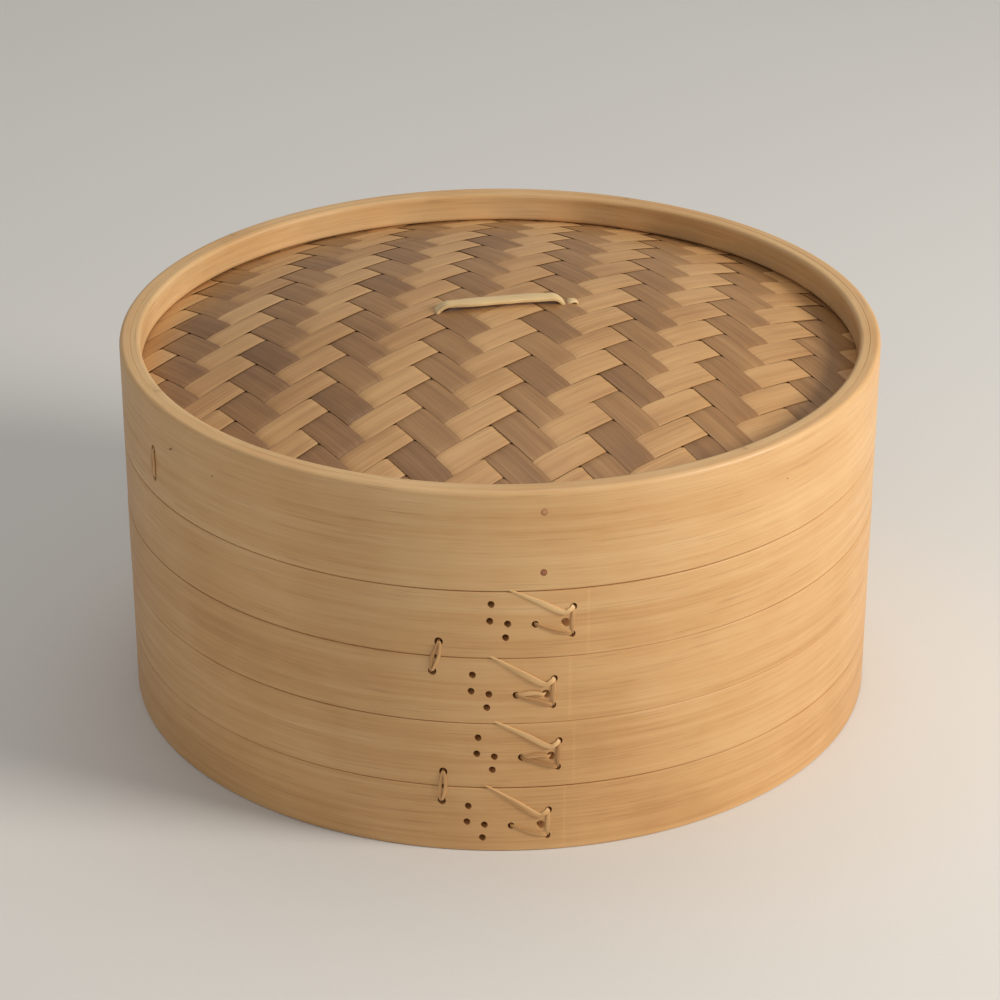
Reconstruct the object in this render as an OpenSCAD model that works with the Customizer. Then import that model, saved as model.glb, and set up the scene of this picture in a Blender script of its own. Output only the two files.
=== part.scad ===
// Two-tier bamboo steamer basket with a domed, woven lid.
// Millimetres, +Z up, origin on the resting plane at the middle of the lower tier.

/* [Basket] */
// Outside diameter of the bands and of the lid
outer_d = 240; // [220:5:260]
// Height of one outer band; a tier has two
band_h = 22; // [22:1:28]
// Thickness of an outer band and of the lid hoop
band_t = 3.5; // [3:0.1:4]
// Thickness of the hoop inside a tier's bands
hoop_t = 4; // [3:0.1:5]
// Height that a hoop stands above its bands, to seat the next piece
spigot_h = 8; // [6:0.5:8]
// Radial gap between a spigot and the band that slides over it
nest_gap = 0.3; // [0.2:0.05:0.5]

/* [Floor] */
// Number of floor slats in a tier
slat_n = 16; // [12:2:16]
// Width of a floor slat
slat_w = 10; // [8:0.5:10]
// Gap between two slats, for the steam
slat_gap = 3.8; // [3:0.1:3.8]
// Thickness of a floor slat
slat_t = 2.2; // [1.8:0.1:2.6]
// Width of a cross bar under the slats
bar_w = 8; // [6:0.5:10]
// Height of a cross bar
bar_h = 4; // [3:0.5:4]
// Height of the ring that holds the slats down
ring_h = 7.8; // [5:0.1:9]

/* [Lid] */
// Height of the lid's outer hoop
lid_h = 32; // [30:1:38]
// Rise of the woven dome from the lid's wall to its middle
dome_rise = 16.4; // [12:0.2:18]
// Depth of the woven top below the rim, at the wall
well_depth = 10; // [8:0.5:12]
// Thickness of the outer woven mat
mat_t = 1.6; // [1.2:0.1:2]
// Thickness of the inner woven mat
lining_t = 1.2; // [1:0.1:1.6]
// Width of a rib under the dome
rib_w = 9; // [7:0.5:12]
// Length of the handle
handle_l = 42; // [36:1:60]
// Width of the handle strip
handle_w = 5.5; // [5:0.5:8]
// Gap between the handle and the top of the dome
handle_gap = 1.6; // [1.4:0.1:6]

/* [Lacing] */
// Radius of a lacing hole
hole_r = 0.9; // [0.7:0.1:1.1]
// Width of a lacing strand
strand_w = 1.5; // [1.2:0.1:1.8]
// Height of a lacing strand above the band
strand_t = 0.7; // [0.5:0.1:0.9]

/* [Hidden] */
$fn = 120;

// Radii of the walls, from the outside in
outer_r = outer_d / 2;
band_in_r = outer_r - band_t;
hoop_in_r = band_in_r - hoop_t;
spigot_r = band_in_r - nest_gap;
edge = 0.5;
slip = 0.1;

// Heights inside a tier, from its lower edge
tier_h = 2 * band_h;
hoop_z = spigot_h + 0.5;
bar_z = hoop_z + 1.5;
slat_z = bar_z + bar_h;
ring_z = slat_z + slat_t;

// Floor of a tier
slat_pitch = slat_w + slat_gap;
slat_end_r = hoop_in_r - 0.3;
bar_spacing = hoop_in_r * 0.53;
ring_t = 3.1;
ring_peg_n = 6;
ring_peg_r = 1.1;
ring_peg_turn = 15;

// Lid
lid_z = 2 * tier_h;
rim_z = lid_z + lid_h;
wall_t = 3.2;
wall_r = band_in_r - wall_t;
mat_edge_r = band_in_r - slip;
mat_top_z = rim_z - well_depth;
dome_r = (wall_r * wall_r + dome_rise * dome_rise) / (2 * dome_rise);
dome_cz = mat_top_z + dome_rise - dome_r;
liner_t = 0.3;
liner_depth = mat_t;
lining_depth = liner_depth + liner_t;
rib_depth = lining_depth + lining_t;
rib_t = 2.4;
rib_end_r = wall_r - 0.5;
rib_ring_t = 2.2;
rib_ring_r = wall_r;
rib_ring_z = lid_z + spigot_h + 2;
rib_ring_h = 7;
rib_turn = 45;

// Handle
handle_t = 1.4;
handle_turn = 10;
handle_top_z = mat_top_z + dome_rise + handle_gap + handle_t;
key_r = 1.2;
key_l = 13;
key_end_r = (handle_l - handle_t + key_l) / 2;
key_z = dome_z(rib_depth, key_end_r) - key_r - slip;
handle_leg_z = key_z - 2.1;

// Lacing of a lap joint. A hole is [along the band, up], from the pattern's first hole.
LAP_OPEN_HOLES = [[0, 0], [-0.4, -5.5], [4.8, -6.4], [4.2, -10.9]];
LAP_STRAND_HOLES = [[12.8, -6.7], [24, -1.6], [23.6, -10.5]];
LAP_FORK = [20.9, -3];
LAP_POCKET = [21.6, -6.6];
pocket_r = 1.3;
pocket_depth = 1.1;
LAP_START = 6.6;
// First hole of each lap, from the lowest band up: [along the band, above the band's lower edge]
LAP_PLACE = [[-9.5, 15.6], [-6.5, 17.2], [-8.1, 16.4], [-2.6, 17.9]];
LID_LAP_PLACE = [-9, 17.5];
LID_LAP_TURN = 180;
pin_r = 0.7;

// Ties across the seam between a tier's two bands: [along the band at the top, at the bottom]
FRONT_TIE = [[-16.9, -17.4], [-17.9, -19.9]];
BACK_TIE = [-1, 1];
tie_half = 5;
tie_strand_w = 1.9;
lid_tie_z = lid_z + 11.2;
lid_tie_half = 4.6;
LID_TIE_ANGLES = [-61, 119];

// Pegs in the lid hoop
LID_PEG_ANGLES = [6, 126, 246];
lid_peg_low_z = lid_z + 6;
lid_peg_high_z = rim_z - 6.6;
lid_peg_r = 1;
peg_proud = 0.3;

band_tone = [0.86, 0.69, 0.47];
hoop_tone = [0.83, 0.66, 0.44];
slat_tone = [0.88, 0.73, 0.50];
strand_tone = [0.93, 0.79, 0.55];
mat_tone = [0.66, 0.47, 0.27];
paper_tone = [0.80, 0.72, 0.58];

function arc_deg(arc) = arc / outer_r * 180 / PI;
function dome_z(depth, r) = dome_cz + sqrt(pow(dome_r - depth, 2) - pow(r, 2));
function dome_edge_z(depth) = dome_z(depth, wall_r);
function height_in_tier(band, place) = (band % 2) * band_h + LAP_PLACE[band][1] + place[1];
function reaches_hoop(band, place) = height_in_tier(band, place) > hoop_z + 2;

// Ring with chamfered edges
module ring(r_out, r_in, z_low, z_high, cut = edge) {
    rotate_extrude()
        polygon([
            [r_in + cut, z_low], [r_out - cut, z_low], [r_out, z_low + cut], [r_out, z_high - cut],
            [r_out - cut, z_high], [r_in + cut, z_high], [r_in, z_high - cut], [r_in, z_low + cut]
        ]);
}

// Plain tube between two radii
module tube(r_out, r_in, z_low, z_high) {
    rotate_extrude()
        translate([r_in, z_low])
            square([r_out - r_in, z_high - z_low]);
}

// Round bar along a radius, at an angle from the front
module radial_bar(angle, z, r, r_from, r_to) {
    rotate([0, 0, angle])
        translate([0, -r_from, z])
            rotate([90, 0, 0])
                cylinder(h = r_to - r_from, r = r, $fn = 24);
}

// Flat strand on the outside of a band; from and to are [along the band, height]
module strand_box(from, to, w) {
    run = to - from;
    middle = (from + to) / 2;
    rotate([0, 0, arc_deg(middle[0])])
        translate([0, -outer_r, middle[1]])
            rotate([0, -atan2(run[1], run[0]), 0])
                cube([norm(run) + w, 8, w], center = true);
}

// Keeps the part of its children that lies on a band, one strand's thickness deep
module on_band(z_low, z_high) {
    intersection() {
        tube(outer_r + strand_t, outer_r, z_low, z_high);
        children();
    }
}

module lap_holes(band, through_hoop) {
    for (place = concat(LAP_OPEN_HOLES, LAP_STRAND_HOLES)) {
        if (!through_hoop || reaches_hoop(band, place)) {
            radial_bar(
                arc_deg(LAP_PLACE[band][0] + place[0]),
                band * band_h + LAP_PLACE[band][1] + place[1],
                hole_r, hoop_in_r - 2, outer_r + 2
            );
        }
    }
}

// Shallow pocket between a lap's strands
module lap_pocket(first) {
    radial_bar(
        arc_deg(first[0] + LAP_POCKET[0]), first[1] + LAP_POCKET[1],
        pocket_r, outer_r - pocket_depth, outer_r + 2
    );
}

module lap_strands(first, z_low, z_high) {
    start = [first[0] + LAP_START, z_high - strand_w];
    fork = first + LAP_FORK;
    on_band(z_low, z_high) {
        union() {
            strand_box(start, fork, strand_w);
            strand_box(fork, first + LAP_STRAND_HOLES[1], strand_w);
            strand_box(first + LAP_STRAND_HOLES[2], first + LAP_STRAND_HOLES[1], strand_w);
            strand_box(first + LAP_STRAND_HOLES[0], first + LAP_STRAND_HOLES[2], strand_w);
        }
    }
}

module tier_lashing(band) {
    base = band * band_h;
    first = [LAP_PLACE[band][0], base + LAP_PLACE[band][1]];
    color(strand_tone) {
        union() {
            lap_strands(first, base + 0.4, base + band_h - 0.4);
            for (place = LAP_STRAND_HOLES) {
                radial_bar(
                    arc_deg(first[0] + place[0]), first[1] + place[1], pin_r,
                    reaches_hoop(band, place) ? hoop_in_r + slip : band_in_r + slip,
                    outer_r + strand_t / 2
                );
            }
        }
    }
}

module tier_tie_holes(tier, arcs) {
    for (side = [0, 1]) {
        radial_bar(
            arc_deg(arcs[side]), tier * tier_h + band_h + (1 - 2 * side) * tie_half,
            hole_r, hoop_in_r - 2, outer_r + 2
        );
    }
}

module tier_tie(tier, arcs) {
    seam = tier * tier_h + band_h;
    color(strand_tone) {
        union() {
            on_band(seam - band_h, seam + band_h)
                strand_box([arcs[1], seam - tie_half], [arcs[0], seam + tie_half], tie_strand_w);
            for (side = [0, 1]) {
                radial_bar(
                    arc_deg(arcs[side]), seam + (1 - 2 * side) * tie_half,
                    pin_r, hoop_in_r + slip, outer_r + strand_t / 2
                );
            }
        }
    }
}

module tier_back_tie(tier) {
    rotate([0, 0, 180])
        tier_tie(tier, BACK_TIE);
}

module tier_tie_cuts(tier) {
    tier_tie_holes(tier, FRONT_TIE[tier]);
    rotate([0, 0, 180])
        tier_tie_holes(tier, BACK_TIE);
}

module cross_bar_boxes(z, grow) {
    for (side = [-1, 0, 1]) {
        translate([0, side * bar_spacing, z + bar_z + bar_h / 2])
            cube([outer_d, bar_w + grow, bar_h + grow], center = true);
    }
}

module ring_peg_bars(z, r, r_from, r_to) {
    for (i = [0 : ring_peg_n - 1]) {
        radial_bar(ring_peg_turn + i * 360 / ring_peg_n, z + ring_z + ring_h / 2, r, r_from, r_to);
    }
}

// Hoop inside a tier's bands; its upper end is the spigot that seats the next piece
module tier_hoop(tier) {
    z = tier * tier_h;
    color(hoop_tone) {
        difference() {
            union() {
                ring(band_in_r, hoop_in_r, z + hoop_z, z + tier_h);
                ring(spigot_r, hoop_in_r, z + tier_h - 2, z + tier_h + spigot_h);
            }
            cross_bar_boxes(z, 0);
            ring_peg_bars(z, ring_peg_r, hoop_in_r - 2, outer_r);
            lap_holes(2 * tier, true);
            lap_holes(2 * tier + 1, true);
            tier_tie_cuts(tier);
        }
    }
}

module tier_band(band) {
    color(band_tone) {
        difference() {
            ring(outer_r, band_in_r, band * band_h, (band + 1) * band_h);
            lap_holes(band, false);
            lap_pocket([LAP_PLACE[band][0], band * band_h + LAP_PLACE[band][1]]);
            tier_tie_cuts(floor(band / 2));
        }
    }
}

module tier_cross_bars(tier) {
    color(hoop_tone) {
        intersection() {
            cross_bar_boxes(tier * tier_h, 0);
            cylinder(r = band_in_r - slip, h = lid_z);
        }
    }
}

module tier_slats(tier) {
    color(slat_tone) {
        intersection() {
            translate([0, 0, tier * tier_h + slat_z])
                cylinder(r = slat_end_r, h = slat_t);
            for (i = [0 : slat_n - 1]) {
                translate([(i - (slat_n - 1) / 2) * slat_pitch, 0, 0])
                    cube([slat_w, outer_d, 2 * lid_z], center = true);
            }
        }
    }
}

module tier_ring(tier) {
    z = tier * tier_h + ring_z;
    color(hoop_tone) {
        difference() {
            ring(hoop_in_r, hoop_in_r - ring_t, z, z + ring_h);
            ring_peg_bars(tier * tier_h, ring_peg_r, hoop_in_r - ring_t - 2, outer_r);
        }
    }
}

module tier_ring_pegs(tier) {
    color(slat_tone)
        ring_peg_bars(tier * tier_h, ring_peg_r, hoop_in_r - ring_t - peg_proud, band_in_r - slip);
}

module lower_inner_hoop() { tier_hoop(0); }
module lower_bottom_band() { tier_band(0); }
module lower_top_band() { tier_band(1); }
module lower_cross_bars() { tier_cross_bars(0); }
module lower_floor_slats() { tier_slats(0); }
module lower_retaining_ring() { tier_ring(0); }
module lower_ring_pegs() { tier_ring_pegs(0); }
module lower_bottom_lashing() { tier_lashing(0); }
module lower_top_lashing() { tier_lashing(1); }
module lower_front_tie() { tier_tie(0, FRONT_TIE[0]); }
module lower_back_tie() { tier_back_tie(0); }

module upper_inner_hoop() { tier_hoop(1); }
module upper_bottom_band() { tier_band(2); }
module upper_top_band() { tier_band(3); }
module upper_cross_bars() { tier_cross_bars(1); }
module upper_floor_slats() { tier_slats(1); }
module upper_retaining_ring() { tier_ring(1); }
module upper_ring_pegs() { tier_ring_pegs(1); }
module upper_bottom_lashing() { tier_lashing(2); }
module upper_top_lashing() { tier_lashing(3); }
module upper_front_tie() { tier_tie(1, FRONT_TIE[1]); }
module upper_back_tie() { tier_back_tie(1); }

// Shell of the dome between two depths below its top surface
module dome_shell(depth, t, r) {
    intersection() {
        difference() {
            translate([0, 0, dome_cz])
                sphere(r = dome_r - depth);
            translate([0, 0, dome_cz])
                sphere(r = dome_r - depth - t);
        }
        translate([0, 0, lid_z])
            cylinder(r = r, h = lid_h * 2);
    }
}

// One layer of the lid's top: the dome, and a flat edge that the wall rings clamp
module lid_layer(depth, t) {
    difference() {
        union() {
            dome_shell(depth, t, wall_r);
            tube(mat_edge_r, wall_r - 0.2, dome_edge_z(depth + t), dome_edge_z(depth));
        }
        handle_legs();
    }
}

module handle_legs() {
    rotate([0, 0, handle_turn])
        for (side = [-1, 1]) {
            translate([side * (handle_l - handle_t) / 2, 0, handle_top_z - 10])
                cube([handle_t, handle_w, 20], center = true);
        }
}

module key_bars() {
    rotate([0, 0, handle_turn])
        for (side = [-1, 1]) {
            translate([side * (handle_l - handle_t) / 2, 0, key_z])
                rotate([0, 90, 0])
                    cylinder(h = key_l, r = key_r, center = true, $fn = 24);
        }
}

module lid_hoop_holes() {
    rotate([0, 0, LID_LAP_TURN]) {
        lap_pocket([LID_LAP_PLACE[0], lid_z + LID_LAP_PLACE[1]]);
        for (place = concat(LAP_OPEN_HOLES, LAP_STRAND_HOLES)) {
            radial_bar(
                arc_deg(LID_LAP_PLACE[0] + place[0]), lid_z + LID_LAP_PLACE[1] + place[1],
                hole_r, band_in_r - 1, outer_r + 2
            );
        }
    }
    for (angle = LID_TIE_ANGLES) {
        for (side = [-1, 1]) {
            radial_bar(angle, lid_tie_z + side * lid_tie_half, hole_r, band_in_r - 1, outer_r + 2);
        }
    }
}

module lid_peg_bars(r_from, r_to) {
    for (angle = LID_PEG_ANGLES) {
        for (z = [lid_peg_low_z, lid_peg_high_z]) {
            radial_bar(angle, z, lid_peg_r, r_from, r_to);
        }
    }
}

module lid_outer_hoop() {
    color(band_tone) {
        difference() {
            ring(outer_r, band_in_r, lid_z, rim_z, 2 * edge);
            lid_hoop_holes();
            lid_peg_bars(band_in_r - 1, outer_r + 2);
        }
    }
}

module lid_top_ring() {
    color(hoop_tone)
        ring(band_in_r, wall_r, dome_edge_z(0), rim_z);
}

module lid_inner_ring() {
    color(hoop_tone)
        ring(band_in_r, wall_r, lid_z + hoop_z, dome_edge_z(rib_depth));
}

module lid_rib_ring() {
    color(hoop_tone) {
        difference() {
            ring(rib_ring_r, rib_ring_r - rib_ring_t, rib_ring_z, rib_ring_z + rib_ring_h);
            rib_slots();
        }
    }
}

module rib_slots() {
    for (order = [0, 1]) {
        rotate([0, 0, rib_turn + order * 90])
            translate([0, 0, dome_edge_z(rib_depth + (1 + order) * rib_t) - slip + rib_ring_h])
                cube([outer_d, rib_w, 2 * rib_ring_h], center = true);
    }
}

module rib(angle, depth) {
    color(slat_tone) {
        intersection() {
            dome_shell(depth, rib_t, rib_end_r);
            rotate([0, 0, angle])
                translate([0, 0, lid_z])
                    cube([outer_d, rib_w, lid_h * 4], center = true);
        }
    }
}

module lid_woven_top() {
    color(mat_tone)
        lid_layer(0, mat_t);
}

module lid_paper_liner() {
    color(paper_tone)
        lid_layer(liner_depth, liner_t);
}

module lid_inner_mat() {
    color(mat_tone)
        lid_layer(lining_depth, lining_t);
}

module lid_upper_rib() { rib(rib_turn, rib_depth); }
module lid_lower_rib() { rib(rib_turn + 90, rib_depth + rib_t); }

module lid_handle() {
    half = handle_l / 2;
    bend = 2.5;
    z_low = handle_leg_z - handle_top_z;
    color(strand_tone) {
        difference() {
            translate([0, 0, handle_top_z])
                rotate([0, 0, handle_turn])
                    rotate([90, 0, 0])
                        linear_extrude(handle_w, center = true)
                            polygon([
                                [-half, z_low], [-half, -bend], [-half + bend, 0],
                                [half - bend, 0], [half, -bend], [half, z_low],
                                [half - handle_t, z_low], [half - handle_t, -bend - 0.5],
                                [half - handle_t - 1, -handle_t], [-half + handle_t + 1, -handle_t],
                                [-half + handle_t, -bend - 0.5], [-half + handle_t, z_low]
                            ]);
            key_bars();
        }
    }
}

module lid_handle_keys() {
    color(slat_tone)
        key_bars();
}

module lid_lashing() {
    first = [LID_LAP_PLACE[0], lid_z + LID_LAP_PLACE[1]];
    color(strand_tone) {
        rotate([0, 0, LID_LAP_TURN]) {
            union() {
                lap_strands(first, lid_z + 1.5, lid_z + LID_LAP_PLACE[1] + 6);
                for (place = LAP_STRAND_HOLES) {
                    radial_bar(
                        arc_deg(first[0] + place[0]), first[1] + place[1],
                        pin_r, band_in_r + slip, outer_r + strand_t / 2
                    );
                }
            }
        }
    }
}

module lid_tie(angle) {
    color(strand_tone) {
        rotate([0, 0, angle]) {
            union() {
                on_band(lid_z, rim_z)
                    strand_box([0, lid_tie_z - lid_tie_half], [0, lid_tie_z + lid_tie_half], tie_strand_w);
                for (side = [-1, 1]) {
                    radial_bar(
                        0, lid_tie_z + side * lid_tie_half,
                        pin_r, band_in_r + slip, outer_r + strand_t / 2
                    );
                }
            }
        }
    }
}

module lid_left_tie() { lid_tie(LID_TIE_ANGLES[0]); }
module lid_right_tie() { lid_tie(LID_TIE_ANGLES[1]); }

module lid_pegs() {
    color(slat_tone)
        lid_peg_bars(band_in_r, outer_r + peg_proud);
}

lower_inner_hoop();
lower_bottom_band();
lower_top_band();
lower_cross_bars();
lower_floor_slats();
lower_retaining_ring();
lower_ring_pegs();
lower_bottom_lashing();
lower_top_lashing();
lower_front_tie();
lower_back_tie();
upper_inner_hoop();
upper_bottom_band();
upper_top_band();
upper_cross_bars();
upper_floor_slats();
upper_retaining_ring();
upper_ring_pegs();
upper_bottom_lashing();
upper_top_lashing();
upper_front_tie();
upper_back_tie();
lid_outer_hoop();
lid_top_ring();
lid_inner_ring();
lid_rib_ring();
lid_woven_top();
lid_paper_liner();
lid_inner_mat();
lid_upper_rib();
lid_lower_rib();
lid_handle();
lid_handle_keys();
lid_lashing();
lid_left_tie();
lid_right_tie();
lid_pegs();
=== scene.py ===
import math

import bmesh
import bpy
import numpy as np
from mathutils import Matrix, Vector


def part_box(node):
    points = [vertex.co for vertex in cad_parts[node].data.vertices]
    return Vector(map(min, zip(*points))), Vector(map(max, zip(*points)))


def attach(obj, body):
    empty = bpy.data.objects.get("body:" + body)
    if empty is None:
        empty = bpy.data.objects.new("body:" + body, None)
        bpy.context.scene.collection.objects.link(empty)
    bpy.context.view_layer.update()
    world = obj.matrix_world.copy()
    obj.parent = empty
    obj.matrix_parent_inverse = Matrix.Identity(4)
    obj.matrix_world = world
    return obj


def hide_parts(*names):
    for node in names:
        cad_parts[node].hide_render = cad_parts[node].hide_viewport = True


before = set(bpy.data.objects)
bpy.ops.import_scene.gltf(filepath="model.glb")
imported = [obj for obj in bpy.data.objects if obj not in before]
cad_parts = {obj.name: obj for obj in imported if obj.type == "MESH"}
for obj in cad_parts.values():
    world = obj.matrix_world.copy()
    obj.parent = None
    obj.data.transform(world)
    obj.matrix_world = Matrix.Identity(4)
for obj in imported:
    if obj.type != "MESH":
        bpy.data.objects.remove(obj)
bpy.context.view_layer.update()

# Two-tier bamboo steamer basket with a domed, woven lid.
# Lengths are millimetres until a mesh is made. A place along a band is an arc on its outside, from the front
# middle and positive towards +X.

MM = 0.001


def side(node, high, axis):
    """One side of a CAD node's box, to 0.1 mm: high is 0 or 1, and axis is 0, 1 or 2."""
    return round(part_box(node)[high][axis] / MM, 1)


# Radii and heights, from the frame
OUTER_R = side("lid_outer_hoop", 1, 0)
BAND_IN_R = side("lower_inner_hoop", 1, 0)
HOOP_IN_R = side("lower_retaining_ring", 1, 0)
WALL_R = side("lid_rib_ring", 1, 0)
BAND_H = side("lower_bottom_band", 1, 2)
TIER_H = side("upper_bottom_band", 0, 2)
HOOP_Z = side("lower_inner_hoop", 0, 2)
SPIGOT_TOP = side("lower_inner_hoop", 1, 2)
BAR_Z = side("lower_cross_bars", 0, 2)
SLAT_Z = side("lower_floor_slats", 0, 2)
RING_Z = side("lower_retaining_ring", 0, 2)
RING_TOP = side("lower_retaining_ring", 1, 2)
LID_Z = side("lid_outer_hoop", 0, 2)
RIM_Z = side("lid_outer_hoop", 1, 2)
MAT_EDGE_Z = side("lid_top_ring", 0, 2)
UNDER_RING = (side("lid_inner_ring", 0, 2), side("lid_inner_ring", 1, 2))
RIB_RING = (side("lid_rib_ring", 0, 2), side("lid_rib_ring", 1, 2))
DOME_TOP = side("lid_woven_top", 1, 2)
HANDLE_Z = (side("lid_handle", 0, 2), side("lid_handle", 1, 2))

# The dome is part of a sphere
DOME_RISE = DOME_TOP - MAT_EDGE_Z
DOME_R = (WALL_R ** 2 + DOME_RISE ** 2) / (2 * DOME_RISE)
DOME_CZ = DOME_TOP - DOME_R

# Floor of a tier
SLAT_N = 16
SLAT_PITCH = 13.8
SLAT_W = 10
BAR_W = 8
BAR_PLACES = (-59.6, 0, 59.6)
RING_T = 3.1
RING_PEG_ANGLES = [15 + 60 * i for i in range(6)]
RING_PEG_R = 1.1
PEG_PROUD = 0.3
SPIGOT_GAP = 0.3

# Lid
RIB_W = 9
RIB_T = 2.4
RIB_DEPTHS = (3.1, 5.5)
RIB_TURNS = (45, 135)
RIB_RING_T = 2.2
MAT_T = 1.6
LINER_T = 0.3
LINING_T = 1.2
MAT_END_R = 115.2
WOVEN_T = 0.6
WOVEN_TOTAL = 1.36
WEAVE_ORIGIN = (0.9, 6.63)
LIGHT_STEP = (-6.01, 8.58)
DARK_STEP = (8.16, 7.35)
LINING_SPLINT_T = 0.45
LINING_STEP = 4.6
SPLINT_JOINTS = (420, 900)
HANDLE_L = 42
HANDLE_T = 1.4
STRAP_GAP = 1.1
HANDLE_TURN = 10
KEY_R = 1.2
KEY_L = 13
KEY_RISE = 2.1
LID_PEG_ANGLES = (6, 126, 246)
LID_PEG_HEIGHTS = (LID_Z + 6, RIM_Z - 6.6)
LID_PEG_R = 1.0

# Lacing: a place is (arc, height), from the pattern's first hole
LAP_OPEN = [(0, 0), (-0.4, -5.5), (4.8, -6.4), (4.2, -10.9)]
LAP_STRAND = [(12.8, -6.7), (24, -1.6), (23.6, -10.5)]
LAP_HOLES = LAP_OPEN + LAP_STRAND
LAP_FORK = (20.9, -3.0)
LAP_POCKET = (21.6, -6.6)
POCKET_R = 1.4
POCKET_DEPTH = 2.2
TIE_POCKET_R = 0.75
LAP_START = 6.6
LAP_END = 28.5
SPARE_STRANDS = (1, 2)
# First hole of each band's lap: (arc, height above the band's lower edge)
LAP_PLACE = [(-9.5, 15.6), (-6.5, 17.2), (-8.1, 16.4), (-2.6, 17.9)]
# First hole of the lid's lap: (arc from the back middle, height)
LID_LAP = (-9, LID_Z + 17.5)
LID_STRAND_RISE = 5.5
HOLE_R = 1.05
HOLE_STRETCH = 1.12
STRAND_T = 0.42
TIE_STRAND_T = 0.36
THROUGH = 2.6
TIE_HALF = 5
# Arcs of a tie's upper and lower hole
FRONT_TIES = [(-16.9, -17.4), (-17.9, -19.9)]
BACK_TIE = (-1, 1)
LID_TIE_ANGLES = (-61, 119)
LID_TIE_Z = LID_Z + 11.2
LID_TIE_HALF = 4.6

# Grain: noise is this much longer along the fibres than across them
ALONG = 1 / 50
FAR = 99.0


def srgb(red, green, blue):
    """A colour given in 0 to 255, as the linear colour that shaders take."""
    def linear(c):
        c /= 255
        return c / 12.92 if c <= 0.04045 else ((c + 0.055) / 1.055) ** 2.4
    return (linear(red), linear(green), linear(blue), 1.0)


# ---------------------------------------------------------------- materials


class Graph:
    """A material's node tree, with short calls for the nodes used here."""

    def __init__(self, name):
        self.material = bpy.data.materials.new(name)
        self.material.use_nodes = True
        self.tree = self.material.node_tree
        self.tree.nodes.clear()

    def node(self, kind, inputs, **settings):
        made = self.tree.nodes.new(kind)
        for key, value in settings.items():
            setattr(made, key, value)
        for key, value in inputs.items():
            if isinstance(value, bpy.types.NodeSocket):
                self.tree.links.new(value, made.inputs[key])
            else:
                made.inputs[key].default_value = value
        return made

    def attribute(self, name, output):
        return self.node("ShaderNodeAttribute", {}, attribute_name=name).outputs[output]

    def math(self, operation, a, b=0.0, clamp=False):
        return self.node("ShaderNodeMath", {0: a, 1: b}, operation=operation, use_clamp=clamp).outputs[0]

    def scaled(self, vector, factors):
        return self.node("ShaderNodeVectorMath", {0: vector, 1: factors}, operation="MULTIPLY").outputs[0]

    def noise(self, vector, scale, detail=2.0, roughness=0.5, output=0):
        inputs = {"Vector": vector, "Scale": scale, "Detail": detail, "Roughness": roughness}
        return self.node("ShaderNodeTexNoise", inputs).outputs[output]

    def remap(self, value, low, high, to_low, to_high):
        inputs = {0: value, 1: low, 2: high, 3: to_low, 4: to_high}
        return self.node("ShaderNodeMapRange", inputs).outputs[0]

    def mix(self, factor, a, b, blend="MIX"):
        made = self.node("ShaderNodeMix", {0: factor, 6: a, 7: b}, data_type="RGBA", blend_type=blend)
        return made.outputs[2]

    def ramp(self, factor, stops):
        made = self.node("ShaderNodeValToRGB", {0: factor})
        elements = made.color_ramp.elements
        for place, colour in stops[2:]:
            elements.new(place).color = colour
        for element, (place, colour) in zip(sorted(elements, key=lambda e: e.position), sorted(stops)):
            element.position, element.color = place, colour
        return made.outputs[0]

    def weighted(self, base, *terms):
        """base plus each (value, weight), where a value is a noise that is about 0.5 on average."""
        total = base
        for value, weight in terms:
            total = self.math("ADD", total, self.math("MULTIPLY", self.math("SUBTRACT", value, 0.5), weight))
        return total

    def surface(self, colour, roughness, height, depth, **constants):
        bump = self.node("ShaderNodeBump", {"Height": height, "Strength": 0.6, "Distance": depth * MM})
        inputs = {"Base Color": colour, "Roughness": roughness, "Normal": bump.outputs[0]}
        shader = self.node("ShaderNodeBsdfPrincipled", inputs)
        for key, value in constants.items():
            shader.inputs[key.replace("_", " ")].default_value = value
        self.node("ShaderNodeOutputMaterial", {"Surface": shader.outputs[0]})
        return self.material


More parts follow.
